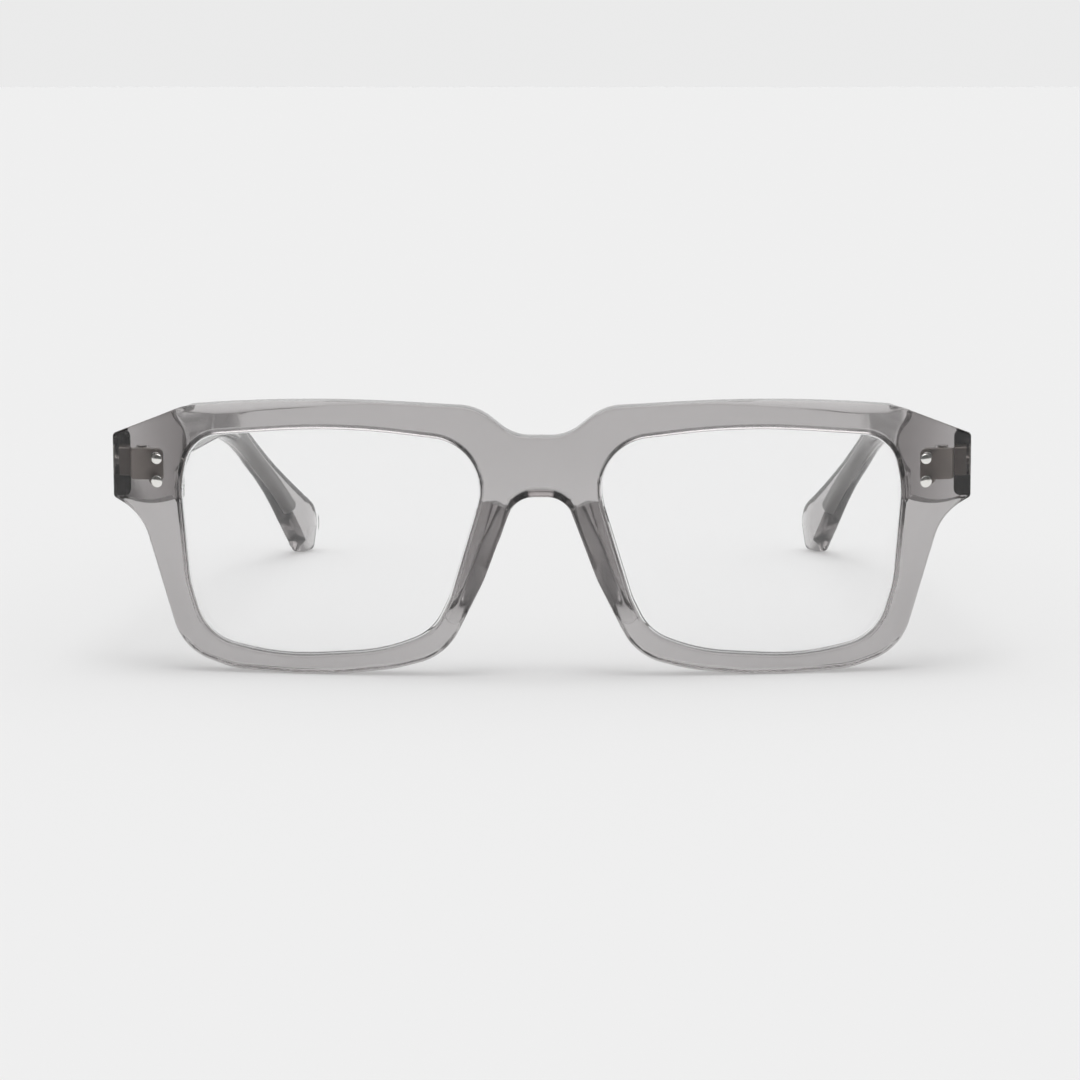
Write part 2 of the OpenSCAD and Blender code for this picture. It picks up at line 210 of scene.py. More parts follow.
# x, z and fillet radius of the right half, from the bridge top outwards and back to the arch
front_corners = [
    (4.4, 40.5, 7.4), (10.6, 45.4, 9.2), (40.7, 46.9, 250), (60.6, 45.05, 6), (73.05, 39.9, 0.9),
    (73.05, 29, 0.8), (68, 26.5, 9.5), (61, 3.7, 9.8), (52.4, 0.7, 13.6), (42.1, 0, 20),
    (34.8, 0, 20), (24.8, 1.1, 30), (15.9, 3.5, 10.5), (9.5, 16.3, 20), (4.2, 30.4, 4.5)]
opening_corners = [
    (33.8, 42.1, 110), (8.4, 39.2, 8.8), (10.5, 28.6, 6.5), (15.2, 13.1, 11.7), (18, 7.4, 8.9),
    (26, 4, 31.6), (43.9, 2.8, 43), (56.8, 5.7, 8.8), (59.6, 15.1, 17.8), (61, 31.5, 19),
    (59.1, 40.1, 6.5)]


def mirrored(corners):
    """The same outline on the other side, drawn the same way round."""
    return [(-x, z, radius) for x, z, radius in reversed(corners)]


joined_gap = 0.004
same_depth = 0.001
tight_radius = 12
cut_threshold = 1e-7


def start_piece(name):
    """A new empty piece in edit mode."""
    bpy.ops.object.select_all(action="DESELECT")
    bpy.ops.mesh.primitive_plane_add(size=mm, location=(0, 0, 0))
    piece = bpy.context.active_object
    piece.name = name
    piece.data.name = name
    bpy.ops.object.mode_set(mode="EDIT")
    bpy.ops.mesh.delete(type="VERT")
    return piece


def trace(corners, depth, inset=0, arc_step=fine_arc):
    """Draws a closed outline at a depth: straight runs are extruded, round corners are spun."""
    points = [Vector((x, 0, z)) * mm for x, z, radius in corners]
    bpy.ops.mesh.select_all(action="DESELECT")
    bpy.ops.mesh.primitive_plane_add(size=mm, location=(0, 0, 0))
    bpy.ops.mesh.merge(type="CENTER")
    place = Vector((0, 0, 0))
    begun = None
    for i, (x, z, radius) in enumerate(corners):
        here = points[i]
        back = (points[i - 1] - here).normalized()
        ahead = (points[(i + 1) % len(points)] - here).normalized()
        half = back.angle(ahead) / 2
        middle = (back + ahead).normalized()
        hollow = 1 if back.cross(ahead).y < 0 else -1
        here = here + middle * (hollow * inset * mm / math.sin(half))
        bend = max(0, radius - hollow * inset) * mm
        start = here + back * (bend / math.tan(half)) + Vector((0, depth * mm, 0))
        end = here + ahead * (bend / math.tan(half)) + Vector((0, depth * mm, 0))
        centre = here + middle * (bend / math.sin(half)) + Vector((0, depth * mm, 0))
        if begun is None:
            begun = start
            bpy.ops.transform.translate(value=start)
        else:
            bpy.ops.mesh.extrude_region_move(TRANSFORM_OT_translate={"value": start - place})
        place = start
        if bend > 0:
            first = start - centre
            last = end - centre
            sweep = math.atan2(last.z, last.x) - math.atan2(first.z, first.x)
            sweep = (sweep + math.pi) % (2 * math.pi) - math.pi
            finest = min(arc_step, arc_step * math.sqrt(tight_radius / radius))
            steps = max(1, math.ceil(abs(sweep) / finest))
            bpy.ops.mesh.spin(steps=steps, angle=sweep, center=centre, axis=(0, 1, 0))
            place = end
    bpy.ops.mesh.extrude_region_move(TRANSFORM_OT_translate={"value": begun - place})
    bpy.ops.mesh.select_linked()
    bpy.ops.mesh.remove_doubles(threshold=joined_gap * mm)


def pull(profile, depth):
    """Extrudes the selected outline from a depth through steps of depth and inset."""
    inset = 0
    for next_depth, next_inset in profile:
        bpy.ops.mesh.extrude_region_move(
            TRANSFORM_OT_translate={"value": (0, (next_depth - depth) * mm, 0)})
        if next_inset != inset:
            bpy.ops.transform.shrink_fatten(value=(inset - next_inset) * mm, use_even_offset=True)
        depth, inset = next_depth, next_inset


def round_edge(depth, way, radius, steps=edge_steps):
    """Steps of depth and inset for an edge rounded from a wall into a flat face."""
    turns = [math.pi / 2 * k / steps for k in range(1, steps + 1)]
    return [(depth + way * radius * math.sin(t), radius * (1 - math.cos(t))) for t in turns]


def pick(piece, test):
    """Selects the shown vertices of a piece in edit mode whose place in mm passes a test."""
    bpy.ops.mesh.select_all(action="DESELECT")
    mesh = bmesh.from_edit_mesh(piece.data)
    for v in mesh.verts:
        if not v.hide and test(v.co.x / mm, v.co.y / mm, v.co.z / mm):
            v.select = True
    mesh.select_flush(True)
    bmesh.update_edit_mesh(piece.data)


def at(depth):
    """A test for vertices at a depth."""
    return lambda x, y, z: abs(y - depth) < same_depth


def close_faces(piece, *depths):
    """Fills the flat faces of a piece at the given depths."""
    for depth in depths:
        pick(piece, at(depth))
        bpy.ops.mesh.fill(use_beauty=True)


def face_outwards():
    """Turns all faces of the piece in edit mode outwards."""
    bpy.ops.mesh.select_all(action="SELECT")
    bpy.ops.mesh.normals_make_consistent(inside=False)


def cut(piece, places, axis, test=None):
    """Cuts a piece across an axis at each place, where the test lets it."""
    normal = [0, 0, 0]
    normal[axis] = 1
    for place in places:
        pick(piece, test or (lambda x, y, z: True))
        bpy.ops.mesh.bisect(plane_co=[place * mm * n for n in normal], plane_no=normal,
                            threshold=cut_threshold)


smooth_angle = math.radians(32)


def smooth_piece(piece):
    """Smooth shading that keeps flat faces flat and sharp edges sharp."""
    bpy.ops.object.mode_set(mode="OBJECT")
    bpy.ops.object.select_all(action="DESELECT")
    piece.select_set(True)
    bpy.context.view_layer.objects.active = piece
    bpy.ops.object.shade_smooth_by_angle(angle=smooth_angle)
    weighted = piece.modifiers.new("even_normals", "WEIGHTED_NORMAL")
    weighted.keep_sharp = True
    bpy.ops.object.modifier_apply(modifier=weighted.name)


def face_depth(x, behind=0):
    """Depth of the curved face, or of a layer behind it, at x."""
    return face_radius - math.sqrt((face_radius - behind) ** 2 - x * x)


def between(table, place):
    """Reads a table of places and values, with straight lines between them."""
    if place <= table[0][0]:
        return table[0][1]
    for (low, first), (high, last) in zip(table, table[1:]):
        if place <= high:
            return first + (last - first) * (place - low) / (high - low)
    return table[-1][1]


def front_depth(x):
    """Depth of the front's face: curved, then flat on the facets, with a soft crease between."""
    curved = face_depth(x)
    flat = face_depth(crease_x) + (abs(x) - crease_x) * facet_rise
    rub = max(0, crease_soft - abs(flat - curved))
    return max(curved, flat) + rub * rub / (4 * crease_soft)


def rear_depth(x, z, line):
    """Depth of the front's back: it follows the face, and is thicker behind the endpieces."""
    if line <= rim_bend_x or (z > block_edge and line < shoulder_x):
        return face_depth(x, sheet_thickness)
    if z <= block_edge:
        return rim_bend_depth + (abs(x) - rim_bend_x) * facet_rise
    return butt_depth


# how much wider the hand-filed bevel along the brow is, by x
brow_bevel = [(28, 0), (34, 0.35), (40.2, 0.75), (48.75, 1.1), (53, 1.4), (58.2, 0.85), (60.5, 0)]
brow_low = 43
brow_facing = 0.7
brow_slope = 0.8
# the filed bevel behind the arch: depth and inset of its five lines, and its share by z
arch_bevel = [(3.15, 0), (3.55, 0.35), (4, 0.72), (4.45, 1.1), (4.6, 1.45)]
arch_share = [(26.5, 0), (29, 1)]
arch_half = 7
arch_high = 34
rear_start = sheet_thickness - rear_round

front = start_piece("front_acetate")
trace(front_corners + mirrored(front_corners), outer_round)
pull([(rear_start, 0)] + round_edge(rear_start, 1, rear_round), outer_round)
pick(front, at(outer_round))
pull(round_edge(outer_round, -1, outer_round), outer_round)
mesh = bmesh.from_edit_mesh(front.data)
mesh.normal_update()
for v in mesh.verts:
    x, depth, z = v.co / mm
    away = Vector((v.normal.x, 0, v.normal.z)).normalized()
    if depth <= outer_round + same_depth and away.z > brow_facing and z > brow_low:
        more = between(brow_bevel, abs(x))
        share = depth / outer_round
        v.co -= away * more * (1 - share) * mm
        v.co.y += brow_slope * more * share * mm
    elif depth > rear_start - same_depth and abs(x) < arch_half and z < arch_high:
        turn = math.asin(min(1, (depth - sheet_thickness + rear_round) / rear_round))
        filed, inset = arch_bevel[round(turn / (math.pi / 2) * edge_steps)]
        share = between(arch_share, z)
        v.co -= away * (inset - rear_round * (1 - math.cos(turn))) * share * mm
        v.co.y += (filed - depth) * share * mm
bmesh.update_edit_mesh(front.data)
bpy.ops.mesh.select_all(action="SELECT")
bpy.ops.mesh.hide(unselected=False)
for corners in (opening_corners, mirrored(opening_corners)):
    trace(corners, opening_round)
    pull([(groove_lip, 0), (groove_mid, groove_depth), (2 * groove_mid - groove_lip, 0),
          (rear_start, 0)] + round_edge(rear_start, 1, rear_round), opening_round)
    pick(front, at(opening_round))
    pull(round_edge(opening_round, -1, opening_round), opening_round)
    bpy.ops.mesh.select_all(action="SELECT")
    bpy.ops.mesh.hide(unselected=False)
bpy.ops.mesh.reveal(select=False)
close_faces(front, 0, sheet_thickness)
# where the sheet is cut into strips, so that it can bend
bend_step = 2.5
bend_cuts = [bend_step * k for k in range(-23, 24)]
side_cuts = [rim_bend_x, crease_x - 1.2, crease_x - 0.8, crease_x - 0.4, shoulder_x - 0.1,
             shoulder_x + 0.1, crease_x + 0.5, crease_x + 0.9, crease_x + 1.3]
block_cuts = [block_bottom - block_step, block_bottom] + [30 + k for k in range(15)]
endpiece_x = 56
cut(front, bend_cuts + side_cuts + [-x for x in side_cuts], 0)
cut(front, block_cuts, 2, lambda x, y, z: abs(x) > endpiece_x)
face_outwards()
face_layer = 0.6
flat_facing = 0.999
# the back of the brow stands out a little more, and the endpieces' tops fall towards the back
brow_extra = 0.45
brow_start = 31
brow_rise = 8
crown_fall = 0.15
crown_foot = 37.7
crown_end = 39.9
crown_slope = 0.4137
crown_x = 59
# the shoulder of the block bulges, and its underside sags
shoulder_bulge = 1.5
shoulder_mid = 38.4
shoulder_reach = 5.2
bulge_x = 58
bulge_inwards = 2.6
bulge_outwards = 4
bottom_sag = 0.5
sag_mid = 66.5
sag_reach = 5
mesh = bmesh.from_edit_mesh(front.data)
for v in mesh.verts:
    x, depth, z = v.co / mm
    line = abs(x)
    inside_face = all(abs(f.normal.y) > flat_facing for f in v.link_faces)
    if inside_face and depth > 1 and line > bulge_x:
        reach = bulge_inwards if line < shoulder_x else bulge_outwards
        near = max(0, 1 - abs(line - shoulder_x) / reach)
        bulge = shoulder_bulge * max(0, 1 - ((z - shoulder_mid) / shoulder_reach) ** 2)
        x -= math.copysign(bulge * near, x)
        if abs(z - block_bottom + block_step / 2) < 0.2:
            z += ((line - sag_mid) / sag_reach) ** 2 - bottom_sag
    if depth <= face_layer:
        y = front_depth(x) + depth
    elif depth >= rear_start - same_depth:
        y = rear_depth(x, v.co.z / mm, line) - (sheet_thickness - depth)
        if line > shoulder_x and v.co.z / mm > block_edge:
            y = butt_depth
        else:
            y += brow_extra * max(0, min(1, (z - brow_start) / brow_rise))
    else:
        share = (depth - face_layer) / (rear_start - face_layer)
        rear = rear_depth(x, v.co.z / mm, line) - rear_round
        y = (front_depth(x) + face_layer) * (1 - share) + rear * share
    if line > crown_x and z > crown_foot:
        share = (z - crown_foot) / (crown_end + crown_slope * (half_width - line) - crown_foot)
        near = min(1, (line - crown_x) / 2)
        z -= crown_fall * max(0, y - front_depth(x)) * min(1, share) * near
    v.co = Vector((x, y, z)) * mm + Vector((0, front_y, 0))
bmesh.update_edit_mesh(front.data)
bpy.ops.object.mode_set(mode="OBJECT")


def add_block(corners, depth, length, arc_step=fine_arc):
    """Adds a solid block: an outline that is filled and extruded."""
    trace(corners, depth, arc_step=arc_step)
    bpy.ops.mesh.edge_face_add()
    bpy.ops.mesh.extrude_region_move(TRANSFORM_OT_translate={"value": (0, length * mm, 0)})


def cut_out(piece, cutter, name):
    """Cuts the shape of a cutter out of a piece, and removes the cutter."""
    bpy.ops.object.select_all(action="DESELECT")
    bpy.context.view_layer.objects.active = piece
    piece.select_set(True)
    carve = piece.modifiers.new(name, "BOOLEAN")
    carve.object = cutter
    bpy.ops.object.modifier_apply(modifier=name)
    bpy.data.objects.remove(cutter)


pocket_corners = leaf_corners[:1] + screw_notch + leaf_corners[1:]
for corners in (pocket_corners, mirrored(pocket_corners)):
    pocket = start_piece("pocket_cutter")
    add_block(corners, leaf_rear, pocket_cut, plate_arc)
    bpy.ops.mesh.select_all(action="SELECT")
    bpy.ops.transform.translate(value=(0, front_y, 0))
    face_outwards()
    bpy.ops.object.mode_set(mode="OBJECT")
    cut_out(front, pocket, "hinge_pocket")
smooth_piece(front)


def surface_group():
    """Roughness and fine relief of a tumbled and hand polished surface."""
    group = bpy.data.node_groups.new("hand_polish", "ShaderNodeTree")
    for name, low, high in (("Roughness", 0.02, 1), ("Smear", 0.02, 1), ("Smear Scale", 120, 5000),
                            ("Bump Scale", 900, 9000)):
        socket = group.interface.new_socket(name, in_out="INPUT", socket_type="NodeSocketFloat")
        socket.default_value = low
        socket.max_value = high
    group.interface.new_socket("Roughness", in_out="OUTPUT", socket_type="NodeSocketFloat")
    group.interface.new_socket("Height", in_out="OUTPUT", socket_type="NodeSocketFloat")
    nodes, links = group.nodes, group.links
    given = nodes.new("NodeGroupInput")
    out = nodes.new("NodeGroupOutput")
    place = nodes.new("ShaderNodeTexCoord")
    smear = nodes.new("ShaderNodeTexNoise")
    smear.inputs["Detail"].default_value = 3
    grain = nodes.new("ShaderNodeTexNoise")
    grain.inputs["Detail"].default_value = 2
    spread = nodes.new("ShaderNodeMath")
    spread.operation = "MULTIPLY_ADD"
    links.new(place.outputs["Object"], smear.inputs["Vector"])
    links.new(given.outputs["Smear Scale"], smear.inputs["Scale"])
    links.new(smear.outputs["Fac"], spread.inputs[0])
    links.new(given.outputs["Smear"], spread.inputs[1])
    links.new(given.outputs["Roughness"], spread.inputs[2])
    links.new(spread.outputs["Value"], out.inputs["Roughness"])
    links.new(place.outputs["Object"], grain.inputs["Vector"])
    links.new(given.outputs["Bump Scale"], grain.inputs["Scale"])
    links.new(grain.outputs["Fac"], out.inputs["Height"])
    return group


hand_polish = surface_group()


def surface_material(name, roughness, smear, smear_scale, bump_scale, bump_depth):
    """A material with a Principled shader whose roughness and normal come from the polish."""
    material = bpy.data.materials.new(name)
    material.use_nodes = True
    nodes, links = material.node_tree.nodes, material.node_tree.links
    shader = nodes["Principled BSDF"]
    polish = nodes.new("ShaderNodeGroup")
    polish.node_tree = hand_polish
    polish.inputs["Roughness"].default_value = roughness
    polish.inputs["Smear"].default_value = smear
    polish.inputs["Smear Scale"].default_value = smear_scale
    polish.inputs["Bump Scale"].default_value = bump_scale
    relief = nodes.new("ShaderNodeBump")
    relief.inputs["Distance"].default_value = bump_depth
    relief.inputs["Strength"].default_value = 1
    links.new(polish.outputs["Roughness"], shader.inputs["Roughness"])
    links.new(polish.outputs["Height"], relief.inputs["Height"])
    links.new(relief.outputs["Normal"], shader.inputs["Normal"])
    return material, shader


shadow_pass = 0.95
plastic_grain = 400


def clear_material(name, ior, colour, density, roughness, smear, smear_scale, bump_depth):
    """A clear, dyed plastic: light also passes straight through it to its shadow."""
    material, shader = surface_material(name, roughness, smear, smear_scale, plastic_grain,
                                        bump_depth)
    shader.inputs["Base Color"].default_value = (1, 1, 1, 1)
    shader.inputs["IOR"].default_value = ior
    shader.inputs["Transmission Weight"].default_value = 1
    nodes, links = material.node_tree.nodes, material.node_tree.links
    output = nodes["Material Output"]
    dye = nodes.new("ShaderNodeVolumeAbsorption")
    dye.inputs["Color"].default_value = (*colour, 1)
    dye.inputs["Density"].default_value = density
    links.new(dye.outputs["Volume"], output.inputs["Volume"])
    light_ray = nodes.new("ShaderNodeLightPath")
    lit = nodes.new("ShaderNodeMath")
    lit.operation = "MAXIMUM"
    links.new(light_ray.outputs["Is Shadow Ray"], lit.inputs[0])
    links.new(light_ray.outputs["Is Diffuse Ray"], lit.inputs[1])
    passing = nodes.new("ShaderNodeBsdfTransparent")
    passing.inputs["Color"].default_value = (shadow_pass, shadow_pass, shadow_pass, 1)
    choice = nodes.new("ShaderNodeMixShader")
    links.new(lit.outputs["Value"], choice.inputs["Fac"])
    links.new(shader.outputs["BSDF"], choice.inputs[1])
    links.new(passing.outputs["BSDF"], choice.inputs[2])
    links.new(choice.outputs["Shader"], output.inputs["Surface"])
    return material


acetate = clear_material("grey_acetate", ior=1.49, colour=(0.28, 0.245, 0.245), density=190,
                         roughness=0.09, smear=0.03, smear_scale=160, bump_depth=0.000002)


def hand_in(piece, material, body, slot, *nodes):
    """Gives a finished piece its material and its body, and hides the nodes it stands for. The slot
    is not used.
    """
    piece.data.materials.append(material)
    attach(piece, body)
    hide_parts(*nodes)


hand_in(front, acetate, "front", "grey_acetate", "front_frame")


# The nose pads: solid pads of the same acetate, glued on the back of the rims and smoothed
# over by hand. Their nose faces splay by thirty degrees, their top ends are cut flat and
# bevelled behind, and they fade out downwards.
pad_height = 5.4
pad_splay = math.radians(30)
pad_back_splay = math.radians(20)
pad_sink = 0.06
pad_stock = 1.5
pad_grain = 0.2
pad_arc = math.radians(12)
pad_rubs = 8
pad_rub_strength = 0.5
# the lines on the rim from which the nose face and the lens face lean
pad_foot = (14.1, 7.6)
pad_head = (6.2, 25.1)
pad_back_foot = (16.3, 9.6)
pad_back_head = (10.3, 27.7)
pad_nose_fat = 0.8
pad_corners = [
    (9.74, 29.5, 1.2), (5.24, 28, 1.5), (6.7, 23.4, 12), (11.6, 12, 12), (14.6, 7.6, 1.3),
    (16.3, 9.7, 1.4), (13.7, 19.5, 20), (11.4, 27.3, 3.6)]
# the slope behind the lower end, the flat top end and its bevel: a place on each, and the way
# that it faces
pad_slope_foot = (0, 0.2, 7.6)
pad_slope = (0, 12.4, -5.2)
pad_top_bevel = 0.8
pad_top = (5.4, 0, 27.5)
pad_top_way = (-1.5, 0, 4.5)
pad_bevel_edge = (5.4, pad_height - pad_top_bevel, 27.5)
pad_bevel_way = (-1.5, 4.74, 4.5)
# how the height runs out towards the lower end
pad_taper = [(8.2, 0.02), (10, 0.25), (12, 0.5), (14, 0.72), (16, 0.88), (18, 1)]


def mirrored_copy(piece):
    """The same piece for the left side, with its own mesh."""
    other = piece.copy()
    other.data = piece.data.copy()
    other.name = piece.name.replace("right", "left")
    other.data.name = other.name
    bpy.context.scene.collection.objects.link(other)
    other.data.transform(Matrix.Scale(-1, 4, (1, 0, 0)))
    other.data.flip_normals()
    return other


def hand_in_pair(piece, material, body, slot, node):
    """Smooths a right piece and its copy for the left side, and gives both their material and their
    body.
    """
    other = mirrored_copy(piece)
    for made, side in ((piece, "right"), (other, "left")):
        smooth_piece(made)
        hand_in(made, material, body.replace("right", side), slot, node.replace("right", side))


def shave(place, normal):
    """Cuts away what stands in front of a plane, and closes the cut."""
    bpy.ops.mesh.select_all(action="SELECT")
    bpy.ops.mesh.bisect(plane_co=Vector(place) * mm, plane_no=normal, use_fill=True,
                        clear_outer=True, threshold=cut_threshold)


def leaning(foot, head, splay, side):
    """The normal of a pad's side, which leans away from a line on the rim."""
    along = Vector((head[0] - foot[0], 0, head[1] - foot[1])).normalized()
    across = Vector((along.z, 0, -along.x)) * side
    return across * math.cos(splay) + Vector((0, math.sin(splay), 0))


pad = start_piece("nose_pad_right_acetate")
trace(list(reversed(pad_corners)), -pad_stock, arc_step=pad_arc)
pull([(pad_height, 0)], -pad_stock)
close_faces(pad, -pad_stock, pad_height)
nose_side = leaning(pad_foot, pad_head, pad_splay, -1)
back_side = leaning(pad_back_foot, pad_back_head, pad_back_splay, 1)
shave(Vector((pad_foot[0], 0, pad_foot[1])) + pad_nose_fat * nose_side, nose_side)
shave((pad_back_foot[0], 0, pad_back_foot[1]), back_side)
shave(pad_slope_foot, pad_slope)
face_outwards()
bpy.ops.object.mode_set(mode="OBJECT")
even = pad.modifiers.new("even_mesh", "REMESH")
even.mode = "VOXEL"
even.voxel_size = pad_grain * mm
bpy.ops.object.modifier_apply(modifier=even.name)
rub = pad.modifiers.new("hand_smoothing", "SMOOTH")
rub.factor = pad_rub_strength
rub.iterations = pad_rubs
bpy.ops.object.modifier_apply(modifier=rub.name)
bpy.ops.object.mode_set(mode="EDIT")
mesh = bmesh.from_edit_mesh(pad.data)
for v in mesh.verts:
    if v.co.y > 0:
        v.co.y *= between(pad_taper, v.co.z / mm)
bmesh.update_edit_mesh(pad.data)
shave((0, -pad_sink, 0), (0, -1, 0))
shave(pad_top, pad_top_way)
shave(pad_bevel_edge, pad_bevel_way)
face_outwards()
mesh = bmesh.from_edit_mesh(pad.data)
for v in mesh.verts:
    v.co.y += face_depth(v.co.x / mm, sheet_thickness) * mm + front_y
bmesh.update_edit_mesh(pad.data)
bpy.ops.object.mode_set(mode="OBJECT")
hand_in_pair(pad, acetate, "front", "grey_acetate", "nose_pad_right")

# The lenses: clear demonstration lenses, two millimetres thick, curved with the front. Their
# edge is ground to a V that snaps into the groove of the rim.
lens_front = 1.3
lens_rear = 3.3
lens_gap = 0.06
lens_vee = 0.62
lens_safety = 0.15

clear = clear_material("clear_lens", ior=1.5, colour=(0.4, 0.42, 0.45), density=16,
                       roughness=0, smear=0.004, smear_scale=60, bump_depth=0.000001)

lens = start_piece("lens_right_clear")
trace(list(reversed(opening_corners)), groove_lip, lens_gap)
pull([(groove_mid, -lens_vee), (2 * groove_mid - groove_lip, 0), (lens_rear - lens_safety, 0),
      (lens_rear, lens_safety)], groove_lip)
pick(lens, at(groove_lip))
pull([(lens_front + lens_safety, 0), (lens_front, lens_safety)], groove_lip)
close_faces(lens, lens_front, lens_rear)
cut(lens, bend_cuts + [24 * bend_step], 0)
face_outwards()
mesh = bmesh.from_edit_mesh(lens.data)
for v in mesh.verts:
    v.co.y = face_depth(v.co.x / mm, v.co.y / mm) * mm + front_y
bmesh.update_edit_mesh(lens.data)
bpy.ops.object.mode_set(mode="OBJECT")
hand_in_pair(lens, clear, "front", "clear_lens", "lens_right")

# The temples: 3.75 mm acetate, shot with a flat core wire, bent down over the ear and curved
# in at the tip, with all long edges well rounded. They butt squarely against the endpieces.
temple_thickness = 3.75
temple_round = 1.25
temple_edge_steps = 5
top_lift = 1.1
lift_low = 36
lift_end = 38
butt_gap = 0.08
toe_in = 0.078
bend_y = 92
tip_radius = 232
normal_length = math.hypot(1, toe_in)
curve_x = half_width - toe_in * (bend_y - butt_depth) - tip_radius / normal_length
curve_y = bend_y - tip_radius * toe_in / normal_length
# where the arm is cut into strips: at the lifted top and along the curve
temple_cuts = [20 + 3 * k for k in range(7)] + [60] + [bend_y + 3 * k for k in range(21)]
# y, z and fillet radius, seen from the side
temple_corners = [
    (10, 28.5, 0), (50, 30.3, 100), (106, 29.9, 60), (133, 14.2, 60), (147.2, 0, 1.5),
    (150.5, 0, 1.5), (153.8, 8.4, 5.4), (103.7, 35.1, 25), (40, 38.84, 200), (10, 39.4, 0)]


def temple_x(y, depth):
    """How far out the temple's plan is at y, at a depth below its outer face."""
    if y <= bend_y:
        return half_width - toe_in * (y - butt_depth) - depth * normal_length
    return curve_x + math.sqrt((tip_radius - depth) ** 2 - (y - curve_y) ** 2)


def lay_on_temple(piece):
    """Turns a side view with depths into its place on the right temple."""
    mesh = bmesh.from_edit_mesh(piece.data)
    for v in mesh.verts:
        y, depth, z = v.co / mm
        v.co = Vector((temple_x(y, depth), y, z)) * mm + Vector((0, front_y, 0))
    bmesh.update_edit_mesh(piece.data)
    face_outwards()
    bpy.ops.object.mode_set(mode="OBJECT")


def add_bar(piece, outline, thickness, rounding, steps, arc_step=fine_arc):
    """Adds a flat bar with the long edges of both faces rounded."""
    trace(outline, rounding, arc_step=arc_step)
    wall_end = thickness - rounding
    pull([(wall_end, 0)] + round_edge(wall_end, 1, rounding, steps), rounding)
    pick(piece, at(rounding))
    pull(round_edge(rounding, -1, rounding, steps), rounding)
    close_faces(piece, 0, thickness)


temple = start_piece("temple_right_acetate")
add_bar(temple, list(reversed(temple_corners)), temple_thickness, temple_round, temple_edge_steps)
bpy.ops.mesh.select_all(action="SELECT")
bpy.ops.mesh.bisect(plane_co=((butt_depth + butt_gap) * mm, 0, 0), plane_no=(1, 0, 0),
                    use_fill=True, clear_inner=True)
cut(temple, temple_cuts, 0)
mesh = bmesh.from_edit_mesh(temple.data)
for v in mesh.verts:
    y, depth, z = v.co / mm
    if z > lift_low and y < lift_end:
        share = (lift_end - y) / (lift_end - butt_depth)
        v.co.z += top_lift * depth / temple_thickness * share * mm
bmesh.update_edit_mesh(temple.data)
lay_on_temple(temple)
hand_in_pair(temple, acetate, "right_temple", "grey_acetate", "temple_right")

# The core wires: flat drawn wire with round edges and ends, shot down the middle of each
# temple so that it keeps its shape. It shows as a grey band through the acetate.
wire_height = 1.9
wire_thickness = 1.1
wire_round = 0.5
wire_edge_steps = 3
wire_arc = math.radians(8)
wire_end_round = 0.98
wire_cuts = [bend_y + 5 * k for k in range(11)]
wire_path = [(28.5, 34.6, 0), (104, 32.6, 40), (134, 16.4, 90), (142, 10, 0)]


def metal(name, colour, roughness, smear, smear_scale, bump_scale, bump_depth):
    """A bare metal with smears in its polish and fine grain."""
    material, shader = surface_material(name, roughness, smear, smear_scale, bump_scale, bump_depth)
    shader.inputs["Base Color"].default_value = (*colour, 1)
    shader.inputs["Metallic"].default_value = 1
    return material


drawn_wire = metal("drawn_wire", (0.3, 0.29, 0.285), roughness=0.3, smear=0.2, smear_scale=900,
                   bump_scale=2500, bump_depth=0.00001)


def beside(route, offset):
    """The corners of a line that runs beside an open route."""
    found = []
    for i, (x, z, radius) in enumerate(route):
        here = Vector((x, z))
        back = (here - Vector(route[i - 1][:2])).normalized() if i else None
        ahead = (Vector(route[i + 1][:2]) - here).normalized() if i + 1 < len(route) else back
        back = back or ahead
        side = Vector((-(back + ahead).y, (back + ahead).x)).normalized()
        spread = offset / side.dot(Vector((-ahead.y, ahead.x)))
        hollow = math.copysign(1, back.x * ahead.y - back.y * ahead.x) if radius else 0
        found.append((x + side.x * spread, z + side.y * spread,
                      max(0, radius - hollow * offset) if radius else abs(offset) * wire_end_round))
    return found


wire = start_piece("core_wire_right_drawn")
wire_top = beside(wire_path, wire_height / 2)
wire_bottom = beside(wire_path, -wire_height / 2)
wire_outline = wire_top + list(reversed(wire_bottom))
add_bar(wire, wire_outline, wire_thickness, wire_round, wire_edge_steps, wire_arc)
cut(wire, wire_cuts, 0)
mesh = bmesh.from_edit_mesh(wire.data)
for v in mesh.verts:
    v.co.y += (temple_thickness - wire_thickness) / 2 * mm
lay_on_temple(wire)
hand_in_pair(wire, drawn_wire, "right_temple", "core_wire", "core_wire_right")

# The front hinges: nickel silver plates sunk flush in the back of the endpieces, with three
# knuckles that stand back from them. The plates show dark through the acetate.
pivot_x = 67
pivot_y = 17.9
barrel_bottom = 32.15
barrel_height = 4.8
knuckle_height = barrel_height / 5
knuckle_gap = 0.03
knuckle_radius = 1.5
knuckle_bore = 0.64
bore_break = 0.05
rim_break = 0.12
front_knuckles = (0, 2, 4)
neck_width = 1.6
neck_root = 0.3
neck_length = 1.1
leaf_front = 13.6
leaf_proud = 0.05
plate_break = 0.08
break_angle = math.radians(30)
break_steps = 3
turn_steps = 48
turn_arc = math.radians(30)
turn_gap = 0.003

nickel = metal("nickel_silver", (0.62, 0.57, 0.53), roughness=0.24, smear=0.2, smear_scale=700,
               bump_scale=3000, bump_depth=0.00001)


def round_all(piece, width):
    """Breaks every sharp edge of the piece."""
    mesh = bmesh.from_edit_mesh(piece.data)
    bpy.ops.mesh.select_all(action="DESELECT")
    for edge in mesh.edges:
        edge.select = edge.calc_face_angle(0) > break_angle
    mesh.select_flush(True)
    bmesh.update_edit_mesh(piece.data)
    bpy.ops.mesh.bevel(offset=width * mm, segments=break_steps, profile=0.5, clamp_overlap=True)


